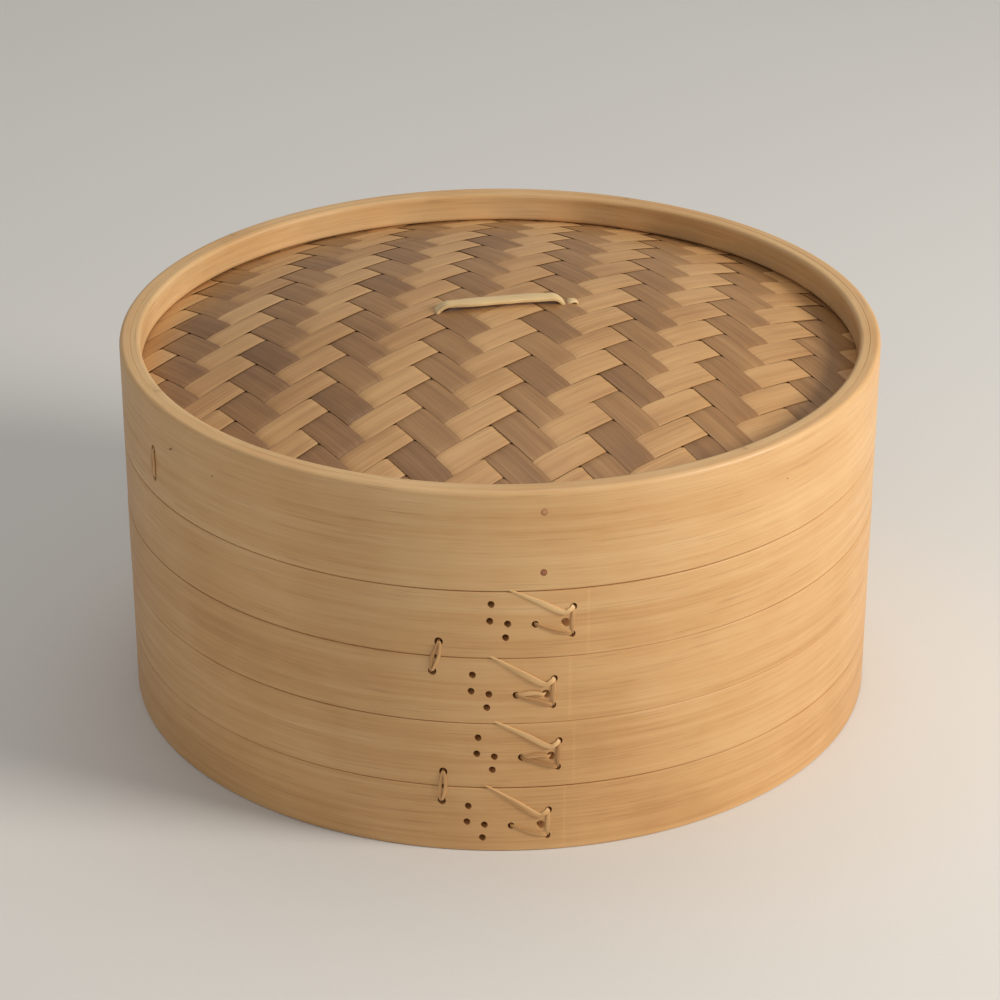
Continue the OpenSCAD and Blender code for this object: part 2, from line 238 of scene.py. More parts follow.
def bamboo(name, pale, middle, deep, roughness=0.5, contrast=1.0, relief=0.12, coat=0.0):
    """Split bamboo: streaks, fine fibres, short dark vessel lines and a darker line at each culm joint."""
    g = Graph(name)
    grain = g.scaled(g.attribute("grain", "Vector"), (ALONG, 1, 1))
    bend = g.scaled(g.noise(grain, 0.08, 1, output=1), (0.0, 2.5, 2.5))
    wavy = g.node("ShaderNodeVectorMath", {0: grain, 1: bend}, operation="ADD").outputs[0]
    broad = g.noise(wavy, 0.22, 3, 0.55)
    streak = g.noise(wavy, 1.1, 4, 0.6)
    fibre = g.noise(wavy, 5.0, 2, 0.6)
    vessel = g.remap(g.noise(wavy, 2.4, 1, 0.4), 0.63, 0.72, 0, 1)
    blotch = g.noise(g.node("ShaderNodeTexCoord", {}).outputs["Object"], 24, 3, 0.55)

    tone = g.attribute("tone", "Fac")
    layers = [(broad, 1.1 * contrast), (streak, 0.9 * contrast), (fibre, 0.5 * contrast), (blotch, 0.7)]
    depth = g.weighted(tone, *layers)
    colour = g.ramp(depth, [(0.0, pale), (1.0, deep), (0.5, middle)])
    brown = tuple(0.45 * c for c in deep[:3]) + (1.0,)
    colour = g.mix(g.math("MULTIPLY", vessel, 0.34 * contrast), colour, brown)

    joint = g.attribute("joint", "Fac")
    uneven = g.weighted(joint, (streak, 2.4), (broad, 2.0))
    distance = g.math("ABSOLUTE", uneven)
    line = g.remap(distance, 0.2, 1.1, 1, 0)
    halo = g.remap(g.math("ABSOLUTE", joint), 0.5, 8, 1, 0)
    darker = g.math("ADD", g.math("MULTIPLY", line, 0.22), g.math("MULTIPLY", halo, 0.1), clamp=True)
    colour = g.mix(darker, colour, brown)

    rough = g.remap(streak, 0.3, 0.7, roughness - 0.07, roughness + 0.09)
    height = g.weighted(g.math("MULTIPLY", line, 0.5), (streak, 0.9), (fibre, 0.5), (vessel, -0.25))
    shine = {"Specular_IOR_Level": 0.42, "Coat_Weight": coat, "Coat_Roughness": 0.35}
    return g.surface(colour, rough, height, relief, **shine)


def paper(name):
    g = Graph(name)
    place = g.node("ShaderNodeTexCoord", {}).outputs["Object"]
    cloud, fleck = g.noise(place, 60, 4, 0.6), g.noise(place, 900, 3, 0.6)
    depth = g.weighted(0.5, (cloud, 0.8), (fleck, 0.9))
    stops = [(0.0, srgb(205, 188, 152)), (1.0, srgb(158, 134, 96)), (0.5, srgb(186, 166, 128))]
    colour = g.ramp(depth, stops)
    return g.surface(colour, g.remap(fleck, 0.3, 0.7, 0.75, 0.95), fleck, 0.08, Specular_IOR_Level=0.2)


def studio_floor(name):
    g = Graph(name)
    place = g.node("ShaderNodeTexCoord", {}).outputs["Object"]
    cloud, fleck = g.noise(place, 3, 3, 0.5), g.noise(place, 700, 2, 0.5)
    depth = g.weighted(0.5, (cloud, 0.5), (fleck, 0.3))
    colour = g.ramp(depth, [(0.0, srgb(229, 226, 220)), (1.0, srgb(219, 215, 208))])
    return g.surface(colour, g.remap(cloud, 0.3, 0.7, 0.6, 0.7), fleck, 0.03, Specular_IOR_Level=0.25)


BAND = bamboo(
    "band_bamboo", srgb(222, 183, 131), srgb(205, 158, 103), srgb(176, 125, 73),
    roughness=0.47, contrast=0.62, relief=0.07, coat=0.05
)
HOOP = bamboo(
    "hoop_bamboo", srgb(224, 188, 138), srgb(206, 163, 109), srgb(176, 128, 78),
    roughness=0.5, contrast=0.7, relief=0.09
)
SLAT = bamboo(
    "slat_bamboo", srgb(228, 194, 142), srgb(212, 170, 114), srgb(182, 134, 82),
    roughness=0.48, contrast=0.9, relief=0.1, coat=0.05
)
STRAND = bamboo(
    "strand_bamboo", srgb(222, 184, 130), srgb(204, 157, 102), srgb(164, 116, 68),
    roughness=0.5, contrast=1.1, relief=0.12
)
STRAP = bamboo(
    "strap_bamboo", srgb(232, 204, 152), srgb(217, 183, 128), srgb(186, 146, 94),
    roughness=0.45, contrast=0.9, relief=0.08, coat=0.05
)
# Painted sheen: the woven top's two splint directions get a lighter and a darker copy of one bamboo colour,
# for the sheen that falls differently on them. The darker copy is painted shade. The lighter copy is also the
# plain colour of the lining.
WOVEN_LIGHT = bamboo(
    "woven_light", srgb(216, 172, 116), srgb(196, 149, 95), srgb(164, 116, 68),
    roughness=0.44, contrast=0.85, relief=0.07, coat=0.1
)
WOVEN_SHADED_COPY = bamboo(
    "woven_shaded_copy", srgb(178, 134, 84), srgb(154, 111, 66), srgb(122, 84, 48),
    roughness=0.44, contrast=0.85, relief=0.07, coat=0.1
)
PIN = bamboo(
    "pin_bamboo", srgb(202, 152, 104), srgb(178, 122, 80), srgb(146, 88, 58),
    roughness=0.5, contrast=0.6, relief=0.05
)
PAPER = paper("liner_paper")


# ---------------------------------------------------------------- meshes


def set_attribute(mesh, name, values):
    """A value per vertex: a vector where values has three columns, and a number otherwise."""
    values = np.asarray(values, np.float32)
    kind, field = ("FLOAT_VECTOR", "vector") if values.ndim == 2 else ("FLOAT", "value")
    layer = mesh.attributes.get(name) or mesh.attributes.new(name, kind, "POINT")
    layer.data.foreach_set(field, values.ravel())


def coordinates(mesh):
    """A mesh's vertices, in mm."""
    found = np.zeros(len(mesh.vertices) * 3, np.float32)
    mesh.vertices.foreach_get("co", found)
    return found.reshape(-1, 3).astype(float) / MM


class Shape:
    """Closed tubes of points, with the grain, tone and joint of each point, which become one mesh."""

    def __init__(self):
        self.points, self.grain, self.tone, self.joint, self.faces = [], [], [], [], []
        self.count = 0

    def tube(self, rings, grain=None, tone=0.5, joint=FAR, closed=False):
        """rings is (number of rings, points in a ring, 3). A closed tube's last ring meets its first."""
        n, k, _ = rings.shape
        index = self.count + np.arange(n * k).reshape(n, k)
        rows = np.vstack([index, index[:1]]) if closed else index
        a, b = rows[:-1], rows[1:]
        self.faces += np.stack([a, np.roll(a, -1, 1), np.roll(b, -1, 1), b], -1).reshape(-1, 4).tolist()
        if not closed:
            self.faces += [index[0][::-1].tolist(), index[-1].tolist()]
        self.points.append(rings.reshape(-1, 3))
        self.grain.append((rings if grain is None else grain).reshape(-1, 3))
        self.tone.append(np.broadcast_to(tone, (n, k)).ravel())
        self.joint.append(np.broadcast_to(joint, (n, k)).ravel())
        self.count += n * k

    def mesh(self, name):
        mesh = bpy.data.meshes.new(name)
        mesh.from_pydata((np.vstack(self.points) * MM).tolist(), [], self.faces)
        set_attribute(mesh, "grain", np.vstack(self.grain))
        set_attribute(mesh, "tone", np.concatenate(self.tone))
        set_attribute(mesh, "joint", np.clip(np.concatenate(self.joint), -FAR, FAR))
        bm = bmesh.new()
        bm.from_mesh(mesh)
        bmesh.ops.remove_doubles(bm, verts=bm.verts, dist=0.002 * MM)
        bmesh.ops.dissolve_degenerate(bm, edges=bm.edges, dist=0.001 * MM)
        bmesh.ops.recalc_face_normals(bm, faces=bm.faces)
        bm.to_mesh(mesh)
        bm.free()
        return mesh


def add_piece(name, mesh, body, nodes, material, sharp=38):
    mesh.materials.clear()
    mesh.materials.append(material)
    mesh.shade_smooth()
    mesh.set_sharp_from_angle(angle=math.radians(sharp))
    piece = bpy.data.objects.new(name, mesh)
    bpy.context.scene.collection.objects.link(piece)
    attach(piece, body)
    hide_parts(*nodes)
    return piece


def cut(mesh, cutter):
    """mesh less the closed shapes of cutter, exactly."""
    objects = [bpy.data.objects.new("cut_part", mesh), bpy.data.objects.new("cut_tool", cutter)]
    for o in objects:
        bpy.context.scene.collection.objects.link(o)
    modifier = objects[0].modifiers.new("cut", "BOOLEAN")
    modifier.operation, modifier.solver, modifier.object = "DIFFERENCE", "EXACT", objects[1]
    evaluated = objects[0].evaluated_get(bpy.context.evaluated_depsgraph_get())
    result = bpy.data.meshes.new_from_object(evaluated)
    for o in objects:
        bpy.data.objects.remove(o)
    return result


def at(angle, r, z):
    """The point at an angle in degrees from the front, a radius and a height."""
    a = math.radians(angle)
    return np.array([r * math.sin(a), -r * math.cos(a), z])


def arc_angle(arc):
    return math.degrees(arc / OUTER_R)


def hole_bars(places, r_from, r_to, pockets=()):
    """Round bars along radii, to cut holes and shallow pockets with. A place is (angle, height, radius)."""
    shape = Shape()
    turn = np.linspace(0, 2 * math.pi, 20, endpoint=False)
    bars = [(*place, r_from, 1.0) for place in places]
    bars += [(*place, OUTER_R - POCKET_DEPTH, 0.5) for place in pockets]
    for angle, z, r, start, narrowing in bars:
        across = at(angle + 90, 1, 0)
        ring = np.outer(np.cos(turn), across) * r + np.outer(np.sin(turn), (0, 0, 1)) * r * HOLE_STRETCH
        stations = [(start, narrowing), (OUTER_R + 0.2, 1.0), (r_to, 1.0)]
        shape.tube(np.array([at(angle, d, z) + ring * share for d, share in stations]))
    return shape.mesh("hole_bars")


def bar_boxes(z, clear):
    """Boxes to cut the mortises of a tier's cross bars with."""
    shape = Shape()
    half_w, half_h = BAR_W / 2 + clear, (SLAT_Z - BAR_Z) / 2 + clear
    for y in BAR_PLACES:
        corners = [(-half_w, -half_h), (half_w, -half_h), (half_w, half_h), (-half_w, half_h)]
        middle = z + (BAR_Z + SLAT_Z) / 2
        ends = [[(x, y + dy, middle + dz) for dy, dz in corners] for x in (-OUTER_R, OUTER_R)]
        shape.tube(np.array(ends, float))
    return shape.mesh("bar_boxes")


def waves(rng, theta, size, first=1, last=9):
    """A smooth closed wave round a ring, from 0 to size."""
    total = sum(
        rng.normal() / k ** 0.8 * np.sin(k * theta + rng.uniform(0, 2 * math.pi)) for k in range(first, last)
    )
    total = total - total.min()
    return size * total / total.max()


def outline(corners, steps=5, spacing=7.0, support=0.3):
    """A closed outline of (r, z) points from right-angled corners (r, z, fillet). A fillet of 0 is sharp."""
    arcs = []
    for i, (r, z, fillet) in enumerate(corners):
        here = np.array([r, z])
        if fillet == 0:
            arcs.append([here])
            continue
        back, on = (np.array(corners[(i + d) % len(corners)][:2]) - here for d in (-1, 1))
        back, on = back / np.linalg.norm(back), on / np.linalg.norm(on)
        centre = here + (back + on) * fillet
        turn = np.linspace(0, math.pi / 2, steps)
        arcs.append([centre - fillet * (on * math.cos(t) + back * math.sin(t)) for t in turn])
    points = []
    for i, arc in enumerate(arcs):
        start, end = arc[-1], arcs[(i + 1) % len(arcs)][0]
        length = np.linalg.norm(end - start)
        places = []
        if length > 5 * support:
            inner = np.linspace(support, length - support, max(2, math.ceil(length / spacing) + 1))
            places = [start + (end - start) * d / length for d in inner]
        points += arc + places
    return np.array(points)


def edge_grooves(r_low, r_high, z, upward, layers):
    """Corners of the fine grooves between the wound layers on a ring's upper or lower edge."""
    places = [r_low + (r_high - r_low) * i / layers for i in range(1, layers)]
    corners = []
    for r in (reversed(places) if upward else places):
        step, dip = (-0.16, -0.3) if upward else (0.16, 0.3)
        corners += [(r - step, z, 0), (r, z + dip, 0), (r + step, z, 0)]
    return corners


def ring_corners(r_in, r_out, z_low, z_high, fillet_in, fillet_out, layers, fillet_low=None):
    """The corners of a wound ring's cross-section, with a groove between its layers."""
    corners = [(r_in, z_low, fillet_in)] + edge_grooves(r_in, r_out, z_low, False, layers)
    corners += [(r_out, z_low, fillet_low or fillet_out), (r_out, z_high, fillet_out)]
    return corners + edge_grooves(r_in, r_out, z_high, True, layers) + [(r_in, z_high, fillet_in)]


def wound_ring(corners, rng, wander=0.25, round_off=0.12, lap=None, step=0.0, segments=600):
    """Turns a cross-section round Z, with edges that wander and a slight step where the outer layer ends."""
    profile = outline(corners)
    theta = np.linspace(-math.pi, math.pi, segments, endpoint=False)
    if lap is not None:
        theta = np.sort(np.append(theta, [lap - 0.0005, lap + 0.0005]))
    z_low, z_high = profile[:, 1].min(), profile[:, 1].max()
    share = (profile[:, 1] - z_low) / (z_high - z_low)
    top = waves(rng, theta, wander)
    low = waves(rng, theta, wander)
    inward = waves(rng, theta, round_off, 2, 6)
    if lap is not None:
        inward = inward + step * (1 - np.mod(theta - lap, 2 * math.pi) / (2 * math.pi))
    outer = (profile[:, 0] - profile[:, 0].min()) / np.ptp(profile[:, 0])
    r = profile[None, :, 0] - inward[:, None] * outer[None, :]
    z = profile[None, :, 1] - top[:, None] * share[None, :] + low[:, None] * (1 - share[None, :])
    rings = np.stack([r * np.sin(theta)[:, None], -r * np.cos(theta)[:, None], z], -1)
    shape = Shape()
    shape.tube(rings, closed=True)
    return shape.mesh("ring")


def ring_grain(mesh, seed, tone, joint_angles):
    """Fibres run round the ring. Joints are lines across it, at angles in degrees from the front."""
    co = coordinates(mesh)
    r = np.hypot(co[:, 0], co[:, 1])
    theta = np.degrees(np.arctan2(co[:, 0], -co[:, 1]))
    grain = np.stack([co[:, 0] + 37 * seed, co[:, 1] * ALONG, co[:, 2] + 0.9 * r + 61 * seed], -1)
    set_attribute(mesh, "grain", grain)
    set_attribute(mesh, "tone", np.full(len(co), tone))
    away = np.stack([np.radians((theta - a + 180) % 360 - 180) * r for a in joint_angles])
    nearest = away[np.argmin(np.abs(away), 0), np.arange(len(co))]
    set_attribute(mesh, "joint", np.clip(nearest, -FAR, FAR))
    return mesh


def round_section(width, thickness, corner, count=3):
    """A closed rounded rectangle of (across, up) points about its middle."""
    w, t = width / 2, thickness / 2
    c = min(corner, 0.98 * w, 0.98 * t)
    points = []
    corners = ((w - c, t - c, 0), (-w + c, t - c, 90), (-w + c, -t + c, 180), (w - c, -t + c, 270))
    for cx, cy, start in corners:
        for a in np.radians(np.linspace(start, start + 90, count)):
            points.append((cx + c * math.cos(a), cy + c * math.sin(a)))
    return np.array(points)


def strip_grain(u, section, seed):
    """Grain for a straight strip: u is the distance along it at each ring, and section its cross-section."""
    n, k = len(u), len(section)
    across = np.broadcast_to(section[None, :, 0], (n, k))
    up = np.broadcast_to(section[None, :, 1], (n, k))
    along = np.broadcast_to(np.asarray(u)[:, None], (n, k))
    return np.stack([along + 91 * seed, across + 17 * seed, up + 53 * seed], -1)


def culm_joints(rng, length, spacing=(150, 260)):
    """Places of the culm joints along a strip of that length, from its middle."""
    places, at_place = [], -length / 2 + rng.uniform(0, spacing[0])
    while at_place < length / 2:
        places.append(at_place)
        at_place += rng.uniform(*spacing)
    return places


def joint_distance(u, places):
    if not places:
        return np.full(len(u), FAR)
    away = np.asarray(u)[:, None] - np.array(places)[None, :]
    return away[np.arange(len(u)), np.argmin(np.abs(away), 1)]


def clipped_bar(shape, rng, turn, offset, width, r_end, height, thickness, corner, seed, swell=0.18):
    """A flat bar across the basket, its ends cut to a circle. height gives its middle's z at a radius."""
    section = round_section(width, thickness, corner)
    cross = offset + section[:, 0]
    reach = np.sqrt(np.maximum(r_end ** 2 - cross ** 2, 1.0))
    n = max(12, int(reach.max() / 2))
    s = np.linspace(-1, 1, 2 * n + 1)
    u = s * reach.max()
    joint = joint_distance(u, culm_joints(rng, 2 * reach.max()))
    ridge = swell * np.exp(-(joint / 1.6) ** 2)
    wander = np.interp(s, np.linspace(-1, 1, 7), rng.normal(0, 0.1, 7))
    along = s[:, None] * reach[None, :]
    across = cross[None, :] + wander[:, None]
    z = height(np.hypot(along, across)) + section[None, :, 1] + ridge[:, None] * (section[None, :, 1] > 0)
    a = math.radians(turn)
    x = along * math.cos(a) - across * math.sin(a)
    y = along * math.sin(a) + across * math.cos(a)
    rings = np.stack([x, y, z], -1)
    shape.tube(rings, strip_grain(u, section, seed), rng.uniform(0.3, 0.7), joint[:, None])


def stick(shape, start, end, radius, seed, dome=0.35, tone=0.5):
    """A round peg with softly domed ends."""
    start, end = np.array(start, float), np.array(end, float)
    axis = (end - start) / np.linalg.norm(end - start)
    length = np.linalg.norm(end - start)
    spare = np.array([0.0, 0, 1]) if abs(axis[2]) < 0.9 else np.array([1.0, 0, 0])
    a = np.cross(axis, spare)
    a /= np.linalg.norm(a)
    b = np.cross(axis, a)
    tips = [(0.0, 0.35), (0.25 * dome, 0.75), (dome, 1.0)]
    stations = tips + [(length - d, s) for d, s in reversed(tips)]
    turn = np.linspace(0, 2 * math.pi, 24, endpoint=False)
    circle = np.outer(np.cos(turn), a) + np.outer(np.sin(turn), b)
    rings = np.array([start + axis * d + circle * radius * s for d, s in stations])
    grain = np.zeros(rings.shape)
    for i, (d, s) in enumerate(stations):
        across, up = radius * s * np.cos(turn), radius * s * np.sin(turn)
        grain[i] = np.stack([np.full(24, d), across + 17 * seed, up], -1)
    shape.tube(rings, grain, tone)


def smooth_path(points, count):
    """Points along a Catmull-Rom curve through the given ones."""
    p = np.array([points[0], *points, points[-1]], float)
    p[0], p[-1] = 2 * p[1] - p[2], 2 * p[-2] - p[-3]
    made = []
    for i in range(1, len(p) - 2):
        for t in np.linspace(0, 1, count, endpoint=False):
            a, b, c, d = p[i - 1:i + 3]
            square, cube = 2 * a - 5 * b + 4 * c - d, 3 * b - a - 3 * c + d
            made.append(0.5 * (2 * b + (c - a) * t + square * t ** 2 + cube * t ** 3))
    return np.array(made + [p[-2]])


def ribbon(shape, points, normal, width, thickness, seed, tone=0.5, corner=0.3, count=8, twist=0.0):
    """A flat strand swept along a path. normal is its outward direction at its middle."""
    path = smooth_path(points, count)
    tangent = np.gradient(path, axis=0)
    tangent /= np.linalg.norm(tangent, axis=1)[:, None]
    n = len(path)
    middle = n // 2
    normals = np.zeros((n, 3))
    out = np.array(normal, float) - tangent[middle] * np.dot(normal, tangent[middle])
    normals[middle] = out / np.linalg.norm(out)
    for order in (range(middle + 1, n), range(middle - 1, -1, -1)):
        previous = middle
        for i in order:
            turn = Vector(tangent[previous]).rotation_difference(Vector(tangent[i]))
            normals[i] = turn @ Vector(normals[previous])
            previous = i
    length = np.concatenate([[0], np.cumsum(np.linalg.norm(np.diff(path, axis=0), axis=1))])
    widths = np.broadcast_to(width, n) if np.ndim(width) == 0 else np.interp(
        length / length[-1], np.linspace(0, 1, len(width)), width)
    flat = round_section(np.mean(widths), thickness, corner, 4)
    rings = np.zeros((n, len(flat), 3))
    for i in range(n):
        across = np.cross(tangent[i], normals[i])
        angle = twist * (length[i] / length[-1] - 0.5)
        a = across * math.cos(angle) + normals[i] * math.sin(angle)
        b = normals[i] * math.cos(angle) - across * math.sin(angle)
        section = round_section(widths[i], thickness, corner, 4)
        crown = 0.15 * thickness * (1 - (2 * section[:, 0] / widths[i]) ** 2)
        rings[i] = path[i] + np.outer(section[:, 0], a) + np.outer(section[:, 1] + crown, b)
    shape.tube(rings, strip_grain(length, flat, seed), tone)


# ---------------------------------------------------------------- tiers


def lap_places(band, choice):
    """The lap's holes on a band, as (arc, height in the basket)."""
    arc, up = LAP_PLACE[band]
    return [(arc + a, band * BAND_H + up + h) for a, h in choice]


def tie_places(tier):
    """Holes of the ties across the middle seam of a tier, as (angle, height)."""
    seam = tier * TIER_H + BAND_H
    top, low = FRONT_TIES[tier]
    front = [(arc_angle(top), seam + TIE_HALF), (arc_angle(low), seam - TIE_HALF)]
    back = [(180 + arc_angle(BACK_TIE[0]), seam + TIE_HALF), (180 + arc_angle(BACK_TIE[1]), seam - TIE_HALF)]
    return front + back


def make_band(band, name, node, body, tone, joints):
    rng = np.random.default_rng(100 + band)
    z = band * BAND_H
    corners = ring_corners(BAND_IN_R + 0.1, OUTER_R, z, z + BAND_H, 0.4, 0.35, 2)
    lap = (LAP_PLACE[band][0] + LAP_END) / OUTER_R
    mesh = wound_ring(corners, rng, wander=0.18, round_off=0.14, lap=lap, step=0.025)
    tier = band // 2
    holes = [(arc_angle(a), h, HOLE_R) for a, h in lap_places(band, LAP_HOLES)]
    holes += [(a, h, HOLE_R * 1.2) for a, h in tie_places(tier) if z < h < z + BAND_H]
    pockets = [(arc_angle(a), h, POCKET_R) for a, h in lap_places(band, [LAP_POCKET])]
    tie_angles = (arc_angle(sum(FRONT_TIES[tier]) / 2), 180)
    pockets += [(a, tier * TIER_H + BAND_H, TIE_POCKET_R) for a in tie_angles]
    mesh = cut(mesh, hole_bars(holes, BAND_IN_R - 2, OUTER_R + 3, pockets))
    add_piece(name, ring_grain(mesh, band + 1, tone, joints), body, [node], BAND)


def make_hoop(tier, name, node, body):
    rng = np.random.default_rng(120 + tier)
    z = tier * TIER_H
    low, top, seat = z + HOOP_Z, z + SPIGOT_TOP, z + TIER_H
    spigot = BAND_IN_R - SPIGOT_GAP
    corners = [(HOOP_IN_R, low, 0.6)] + edge_grooves(HOOP_IN_R, BAND_IN_R, low, False, 2)
    corners += [(BAND_IN_R, low, 0.5), (BAND_IN_R, seat - 0.6, 0), (spigot, seat - 0.3, 0)]
    corners += [(spigot, top, 0.9)]
    corners += edge_grooves(HOOP_IN_R, spigot, top, True, 2) + [(HOOP_IN_R, top, 0.9)]
    mesh = wound_ring(corners, rng, wander=0.2, round_off=0.05)
    first = tier * 2
    places = lap_places(first, LAP_HOLES) + lap_places(first + 1, LAP_HOLES)
    places = [place for place in places if place[1] > z + HOOP_Z + 2]
    holes = [(arc_angle(a), h, HOLE_R) for a, h in places] + [(a, h, HOLE_R) for a, h in tie_places(tier)]
    peg_z = z + (RING_Z + RING_TOP) / 2
    holes += [(a, peg_z, RING_PEG_R) for a in RING_PEG_ANGLES]
    mesh = cut(mesh, hole_bars(holes, HOOP_IN_R - 2, BAND_IN_R + 2))
    mesh = ring_grain(cut(mesh, bar_boxes(z, 0.1)), 11 + tier, 0.5, [-150 + 25 * tier, -38, 78])
    add_piece(name, mesh, body, [node], HOOP)


def make_floor(tier, prefix, body):
    rng = np.random.default_rng(140 + tier)
    z = tier * TIER_H
    slats, bars = Shape(), Shape()
    slat_mid, bar_mid = z + (SLAT_Z + RING_Z) / 2, z + (BAR_Z + SLAT_Z) / 2
    for i in range(SLAT_N):
        offset = (i - (SLAT_N - 1) / 2) * SLAT_PITCH + rng.uniform(-0.25, 0.25)
        width = SLAT_W + rng.uniform(-0.5, 0.1)
        bow = rng.uniform(-0.05, 0.05)
        clipped_bar(
            slats, rng, 90, offset, width, HOOP_IN_R - 0.4,
            lambda r: slat_mid - 0.1 + bow * np.cos(r / 70), RING_Z - SLAT_Z - 0.2, 0.45, i + 3, swell=0.08
        )
    for i, y in enumerate(BAR_PLACES):
        clipped_bar(
            bars, rng, 0, y, BAR_W, BAND_IN_R - 0.3,
            lambda r: bar_mid + 0 * r, SLAT_Z - BAR_Z, 0.7, i + 40, swell=0.0
        )
    add_piece(f"{prefix}_slats", slats.mesh("slats"), body, [f"{prefix}_floor_slats"], SLAT)
    add_piece(f"{prefix}_bars", bars.mesh("bars"), body, [f"{prefix}_cross_bars"], HOOP)


def make_retaining_ring(tier, prefix, body):
    rng = np.random.default_rng(150 + tier)
    z = tier * TIER_H
    corners = ring_corners(HOOP_IN_R - RING_T, HOOP_IN_R - 0.05, z + RING_Z, z + RING_TOP, 0.8, 0.4, 1)
    mesh = wound_ring(corners, rng, wander=0.25, round_off=0.0, segments=480)
    peg_z = z + (RING_Z + RING_TOP) / 2
    holes = [(a, peg_z, RING_PEG_R) for a in RING_PEG_ANGLES]
    mesh = cut(mesh, hole_bars(holes, HOOP_IN_R - 6, HOOP_IN_R + 2))
    mesh = ring_grain(mesh, 21 + tier, 0.42, [-100, 20 + 30 * tier, 140])
    add_piece(f"{prefix}_ring", mesh, body, [f"{prefix}_retaining_ring"], HOOP)
    pegs = Shape()
    for i, angle in enumerate(RING_PEG_ANGLES):
        inner_end = at(angle, HOOP_IN_R - RING_T - PEG_PROUD, peg_z)
        stick(pegs, inner_end, at(angle, BAND_IN_R - 0.1, peg_z), RING_PEG_R, i)
    add_piece(f"{prefix}_ring_pins", pegs.mesh("pins"), body, [f"{prefix}_ring_pegs"], PIN)


def band_point(arc, z, lift, turn=0.0):
    return at(turn + arc_angle(arc), OUTER_R + lift, z)


def lap_strands(shape, first, z_top, turn, seed, spare=False):
    """A lap's strands: from the band's edge to the upper right hole, from there to the lower right hole, from
    the inner hole to the lower right one, and perhaps a spare one that dives into the pocket."""
    rng = np.random.default_rng(seed)
    arc0, z0 = first
    out = at(turn, 1, 0)
    fork, inner, upper, lower = LAP_FORK, *LAP_STRAND

    def lay(points, widths, thickness, tone, twist):
        """A ribbon through points of (arc, height, lift) from the pattern's first hole."""
        path = [band_point(arc0 + a, z0 + h, lift, turn) for a, h, lift in points]
        ribbon(shape, path, out, widths, thickness, rng.uniform(0, 50), tone, 0.1, twist=twist)

    def halfway(a, b, share=0.5):
        return a[0] + share * (b[0] - a[0]), a[1] + share * (b[1] - a[1])

    sag = rng.uniform(-0.25, 0.25, 4)
    start = (LAP_START, z_top - z0)
    bend = halfway(start, fork, 0.5)
    points = [(start[0] - 2.5, start[1] + 1.0, -0.5), (*start, -0.05), (bend[0], bend[1] + sag[0], 0.12)]
    points += [(fork[0] - 0.4, fork[1] + 0.1, 0.26), (upper[0] - 1.2, upper[1] - 0.9, 0.26), (*upper, -0.6)]
    lay(points + [(*upper, -THROUGH)], [0.5, 0.9, 1.3, 1.8, 1.8, 1.4, 1.3], STRAND_T, 0.3, 0.3)
    side = halfway(upper, lower)
    points = [(*upper, -THROUGH), (upper[0], upper[1] - 0.2, -0.5), (upper[0] - 0.1, upper[1] - 1.9, 0.1)]
    points += [(side[0] - 0.1 + sag[1], side[1], 0.16), (lower[0], lower[1] + 1.8, 0.1), (*lower, -0.6)]
    lay(points + [(*lower, -THROUGH)], [1.0, 1.0, 1.2, 1.1, 0.9], STRAND_T * 0.7, 0.5, -0.5)
    # Painted shade: the strand from the inner hole to the lower one gets a deeper tone (0.7) than the others,
    # for the shade it lies in below the fork.
    low = halfway(inner, lower, 0.55)
    points = [(*inner, -THROUGH), (*inner, -0.6), (inner[0] + 1.5, inner[1] - 0.5, 0.08)]
    points += [(low[0], low[1] + sag[2], 0.2), (lower[0] - 1.4, lower[1] + 0.6, 0.14), (*lower, -0.6)]
    lay(points + [(*lower, -THROUGH)], [1.0, 1.1, 1.4, 1.3, 1.1], STRAND_T * 0.8, 0.7, 0.45)
    if spare:
        middle = halfway(inner, LAP_POCKET, 0.6)
        points = [(*inner, -THROUGH), (inner[0] + 0.1, inner[1] + 0.2, -0.6)]
        points += [(inner[0] + 1.6, inner[1] + 0.4, 0.06), (middle[0], middle[1] + 0.6 + sag[3], 0.24)]
        points += [(LAP_POCKET[0] - 1.0, LAP_POCKET[1], 0.1), (LAP_POCKET[0], LAP_POCKET[1] - 0.1, -0.9)]
        lay(points, [0.9, 1.1, 1.6, 1.2, 1.0], STRAND_T * 0.8, 0.35, -0.3)


def tie_strand(shape, turn, arcs, z, half, seed):
    """A stitch across a seam: two narrow strands, a little apart, outside from one hole to the other."""
    rng = np.random.default_rng(seed)
    out = at(turn, 1, 0)
    top, low = arcs
    for shift, lift, tone in ((-0.85, 0.06, 0.55), (0.8, 0.12, 0.4)):
        lean = rng.uniform(-0.2, 0.2)
        path = [band_point(top, z + half, -THROUGH, turn), band_point(top, z + half, -0.5, turn)]
        path += [band_point(top + shift * 0.5, z + half - 1.1, lift, turn)]
        path += [band_point((top + low) / 2 + shift + lean, z, lift + 0.12, turn)]
        path += [band_point(low + shift * 0.5, z - half + 1.1, lift, turn)]
        path += [band_point(low, z - half, -0.5, turn), band_point(low, z - half, -THROUGH, turn)]
        widths, seed_along = [0.8, 0.9, 1.1, 0.9, 0.8], rng.uniform(0, 50)
        ribbon(shape, path, out, widths, TIE_STRAND_T, seed_along, tone, 0.1, twist=3 * lean)


